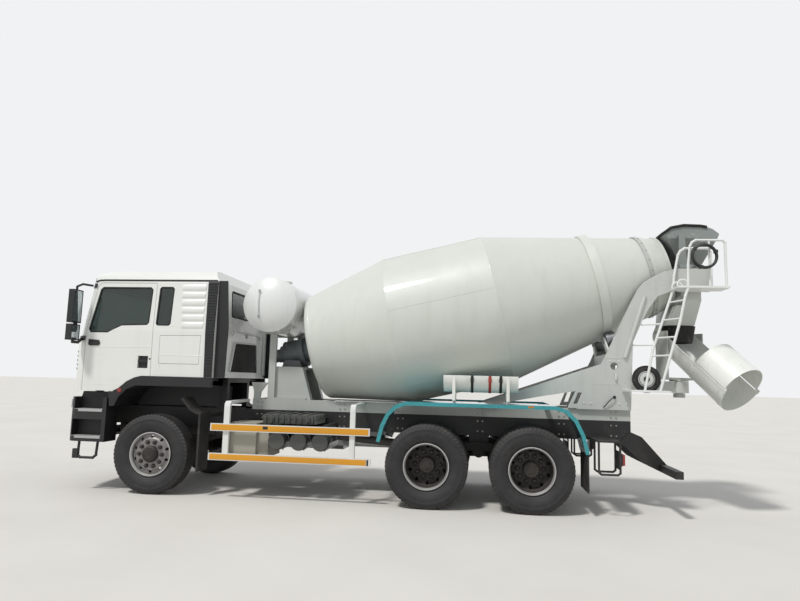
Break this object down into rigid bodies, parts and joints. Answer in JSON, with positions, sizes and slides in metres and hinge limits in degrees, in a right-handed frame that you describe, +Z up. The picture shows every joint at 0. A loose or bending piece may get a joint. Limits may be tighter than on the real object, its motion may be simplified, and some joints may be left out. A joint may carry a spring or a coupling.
{
  "type": "concrete mixer truck",
  "caption": "Three-axle truck with a tilting cab and a slanted rotating mixing drum, rear charging hopper, folding discharge chute, ladder and side guards.",
  "frame": {"origin": "middle of the bounding box on the ground", "axes": "nose toward -X, left side toward -Y, +Z up"},
  "size_m": [9.5871, 2.8, 3.905],
  "materials": {
    "black_frame": "satin black chassis paint",
    "engine_grey": "cast iron with grime",
    "tyre": "dusty rubber",
    "wheel_steel": "silver paint",
    "tank_grey": "dark grey paint",
    "box_grey": "beige grey paint",
    "aluminium": "mill finish",
    "guard_paint": "orange yellow reflective band on white paint",
    "fender_teal": "teal protective film",
    "black_rubber": "matt black rubber",
    "black_plastic": "grained black plastic",
    "cab_white": "gloss white",
    "window_glass": "tinted glass",
    "interior": "dark grey trim",
    "seat_cloth": "grey woven seat cloth",
    "mixer_grey": "light grey paint",
    "gearbox_grey": "grey blue paint",
    "mixer_white": "white paint",
    "lamp_red": "red lens",
    "hose_black": "black"
  },
  "bodies": {
    "chassis": {"chassis_frame": "black_frame", "engine": "engine_grey", "front_axle": "black_frame", "rear_axles": "black_frame", "rear_springs": "black_frame", "air_tanks": "tank_grey", "side_boxes": "box_grey", "fuel_tank": "aluminium", "silencer": "aluminium", "side_guards": "guard_paint", "rear_fenders": "fender_teal", "mudflaps": "black_rubber", "bumper": "black_plastic", "subframe": "mixer_grey", "pedestal": "mixer_grey", "gearbox": "gearbox_grey", "water_tank": "mixer_white", "rear_frame": "mixer_grey", "hopper": "mixer_grey", "collector": "mixer_grey", "skirt": "black_rubber", "ladder": "mixer_white", "spare_chutes": "mixer_white", "underrun": "black_frame", "lamps": "lamp_red", "hose_reel": "hose_black"},
    "left_door": {"door_left": "cab_white", "door_glass_left": "window_glass"},
    "right_door": {"door_right": "cab_white", "door_glass_right": "window_glass"},
    "left_knuckle": {"knuckle_left": "black_frame"},
    "right_knuckle": {"knuckle_right": "black_frame"},
    "front_left_wheel": {"tyre_front_left": "tyre", "rim_front_left": "wheel_steel"},
    "front_right_wheel": {"tyre_front_right": "tyre", "rim_front_right": "wheel_steel"},
    "mid_left_wheels": {"tyres_mid_left": "tyre", "rims_mid_left": "wheel_steel"},
    "mid_right_wheels": {"tyres_mid_right": "tyre", "rims_mid_right": "wheel_steel"},
    "rear_left_wheels": {"tyres_rear_left": "tyre", "rims_rear_left": "wheel_steel"},
    "rear_right_wheels": {"tyres_rear_right": "tyre", "rims_rear_right": "wheel_steel"},
    "mixing_drum": {"drum": "mixer_white"},
    "left_roller": {"roller_left": "mixer_grey"},
    "right_roller": {"roller_right": "mixer_grey"},
    "chute_bracket": {"slew": "mixer_grey"},
    "main_chute": {"chute": "mixer_white"},
    "folding_chute": {"chute_end": "mixer_white"},
    "cab": {"cab_shell": "cab_white", "cab_glass": "window_glass", "cab_interior": "interior", "seats": "seat_cloth", "grille": "black_plastic", "sun_visor": "black_plastic", "cab_fenders": "black_plastic", "mirrors": "black_plastic", "deflectors": "black_plastic"}
  },
  "joints": [
    {"name": "steer_left", "type": "hinge", "parent": "chassis", "child": "left_knuckle", "pos_m": [-3.39355, -0.88, 0.542], "axis": [0, 0, 1], "range_deg": [-35, 35]},
    {"name": "steer_right", "type": "hinge", "parent": "chassis", "child": "right_knuckle", "pos_m": [-3.39355, 0.88, 0.542], "axis": [0, 0, 1], "range_deg": [-35, 35]},
    {"name": "front_left_spin", "type": "hinge", "parent": "left_knuckle", "child": "front_left_wheel", "pos_m": [-3.39355, -1.015, 0.542], "axis": [0, 1, 0], "continuous": true},
    {"name": "front_right_spin", "type": "hinge", "parent": "right_knuckle", "child": "front_right_wheel", "pos_m": [-3.39355, 1.015, 0.542], "axis": [0, 1, 0], "continuous": true},
    {"name": "mid_left_spin", "type": "hinge", "parent": "chassis", "child": "mid_left_wheels", "pos_m": [0.43145, -0.92, 0.542], "axis": [0, 1, 0], "continuous": true},
    {"name": "mid_right_spin", "type": "hinge", "parent": "chassis", "child": "mid_right_wheels", "pos_m": [0.43145, 0.92, 0.542], "axis": [0, 1, 0], "continuous": true},
    {"name": "rear_left_spin", "type": "hinge", "parent": "chassis", "child": "rear_left_wheels", "pos_m": [1.78145, -0.92, 0.542], "axis": [0, 1, 0], "continuous": true},
    {"name": "rear_right_spin", "type": "hinge", "parent": "chassis", "child": "rear_right_wheels", "pos_m": [1.78145, 0.92, 0.542], "axis": [0, 1, 0], "continuous": true},
    {"name": "cab_tilt", "type": "hinge", "parent": "chassis", "child": "cab", "pos_m": [-4.69355, 0, 1.34], "axis": [0, -1, 0], "range_deg": [0, 50]},
    {"name": "left_door_swing", "type": "hinge", "parent": "cab", "child": "left_door", "pos_m": [-4.49955, -1.12, 1.9], "axis": [0, 0, -1], "range_deg": [0, 70]},
    {"name": "right_door_swing", "type": "hinge", "parent": "cab", "child": "right_door", "pos_m": [-4.49955, 1.12, 1.9], "axis": [0, 0, 1], "range_deg": [0, 70]},
    {"name": "drum_spin", "type": "hinge", "parent": "chassis", "child": "mixing_drum", "pos_m": [-1.32355, 0, 2.121], "axis": [0.9737, 0, 0.2278], "continuous": true},
    {"name": "left_roller_spin", "type": "hinge", "parent": "chassis", "child": "left_roller", "pos_m": [2.92156, -0.41542, 2.277], "axis": [0.9737, 0, 0.2278], "continuous": true},
    {"name": "right_roller_spin", "type": "hinge", "parent": "chassis", "child": "right_roller", "pos_m": [2.92156, 0.41542, 2.277], "axis": [0.9737, 0, 0.2278], "continuous": true},
    {"name": "chute_swing", "type": "hinge", "parent": "chassis", "child": "chute_bracket", "pos_m": [3.94645, 0, 1.84], "axis": [0, 0, 1], "range_deg": [-25, 135]},
    {"name": "chute_lift", "type": "hinge", "parent": "chute_bracket", "child": "main_chute", "pos_m": [3.91659, 0.04265, 2.36926], "axis": [-0.8192, -0.5736, 0], "range_deg": [-8, 18]},
    {"name": "chute_fold", "type": "hinge", "parent": "main_chute", "child": "folding_chute", "pos_m": [4.49474, -0.78305, 1.6199], "axis": [0.8192, 0.5736, 0], "range_deg": [0, 180]}
  ],
  "couplings": [
    {"joint": "steer_right", "follows": "steer_left", "ratio": 1},
    {"joint": "left_roller_spin", "follows": "drum_spin", "ratio": -6.9565},
    {"joint": "right_roller_spin", "follows": "drum_spin", "ratio": -6.9565}
  ]
}
